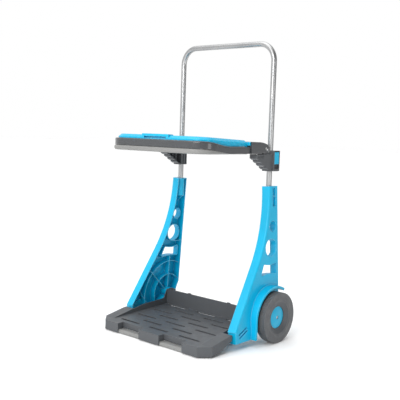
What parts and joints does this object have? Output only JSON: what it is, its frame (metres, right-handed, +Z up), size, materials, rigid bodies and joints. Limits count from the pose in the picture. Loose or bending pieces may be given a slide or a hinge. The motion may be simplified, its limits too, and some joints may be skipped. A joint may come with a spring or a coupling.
{
  "type": "folding platform cart",
  "caption": "Folding wheeled platform cart with a slotted load tray, moulded side panels, tube handle, clamp carriage and a bag ring under a hinged lid.",
  "frame": {"origin": "on the floor, at the middle of the cart's own box", "axes": "+Z up, -Y towards the front of the load tray, +X across the cart along the axle"},
  "size_m": [0.6196, 0.44, 1.063],
  "materials": {
    "blue_plastic": "satin moulded",
    "dark_plastic": "fine grained moulded",
    "light_plastic": "smooth moulded",
    "zinc_steel": "zinc plated",
    "bearing_plastic": "smooth",
    "tyre_rubber": "matte",
    "silver_tube": "satin"
  },
  "bodies": {
    "frame": {"handle_tube": "silver_tube", "left_side_panel": "blue_plastic", "right_side_panel": "blue_plastic", "tube_screws": "zinc_steel", "axle": "zinc_steel", "axle_washers": "zinc_steel", "axle_end_screws": "zinc_steel"},
    "tray": {"tray": "dark_plastic", "tray_bushes": "bearing_plastic", "skid_bar": "light_plastic", "skid_bar_screws": "zinc_steel"},
    "left_wheel": {"left_tyre": "tyre_rubber", "left_hub": "dark_plastic", "left_hub_cap": "blue_plastic", "left_wheel_bush": "bearing_plastic"},
    "right_wheel": {"right_tyre": "tyre_rubber", "right_hub": "dark_plastic", "right_hub_cap": "blue_plastic", "right_wheel_bush": "bearing_plastic"},
    "carriage": {"left_bracket": "dark_plastic", "right_bracket": "dark_plastic", "left_clamp_pad": "bearing_plastic", "right_clamp_pad": "bearing_plastic", "lever_pins": "zinc_steel", "ring_fold_pins": "zinc_steel"},
    "left_lever": {"left_clamp_lever": "dark_plastic"},
    "right_lever": {"right_clamp_lever": "dark_plastic"},
    "ring": {"ring_frame": "dark_plastic", "left_ring_arm": "dark_plastic", "right_ring_arm": "dark_plastic", "bag_ring": "light_plastic", "lid_hinge_pins": "zinc_steel", "arm_screws": "zinc_steel", "ring_screws": "zinc_steel"},
    "lid": {"lid_panel": "blue_plastic"}
  },
  "joints": [
    {"name": "tray_fold", "type": "hinge", "parent": "frame", "child": "tray", "pos_m": [0, 0.13, 0.09], "axis": [-1, 0, 0], "range_deg": [0, 80]},
    {"name": "left_wheel_spin", "type": "hinge", "parent": "frame", "child": "left_wheel", "pos_m": [-0.2885, 0.13, 0.09], "axis": [1, 0, 0], "continuous": true},
    {"name": "right_wheel_spin", "type": "hinge", "parent": "frame", "child": "right_wheel", "pos_m": [0.2885, 0.13, 0.09], "axis": [1, 0, 0], "continuous": true},
    {"name": "carriage_slide", "type": "slide", "parent": "frame", "child": "carriage", "axis": [0, 0, 1], "range_m": [-0.045, 0.3]},
    {"name": "left_lever_swing", "type": "hinge", "parent": "carriage", "child": "left_lever", "pos_m": [-0.2331, 0.1755, 0.668], "axis": [0, 1, 0], "range_deg": [0, 90]},
    {"name": "right_lever_swing", "type": "hinge", "parent": "carriage", "child": "right_lever", "pos_m": [0.2331, 0.1755, 0.668], "axis": [0, -1, 0], "range_deg": [0, 90]},
    {"name": "ring_fold", "type": "hinge", "parent": "carriage", "child": "ring", "pos_m": [0, 0.114, 0.684], "axis": [1, 0, 0], "range_deg": [-88, 0]},
    {"name": "lid_hinge", "type": "hinge", "parent": "ring", "child": "lid", "pos_m": [0, 0.046, 0.699], "axis": [-1, 0, 0], "range_deg": [0, 95]}
  ]
}
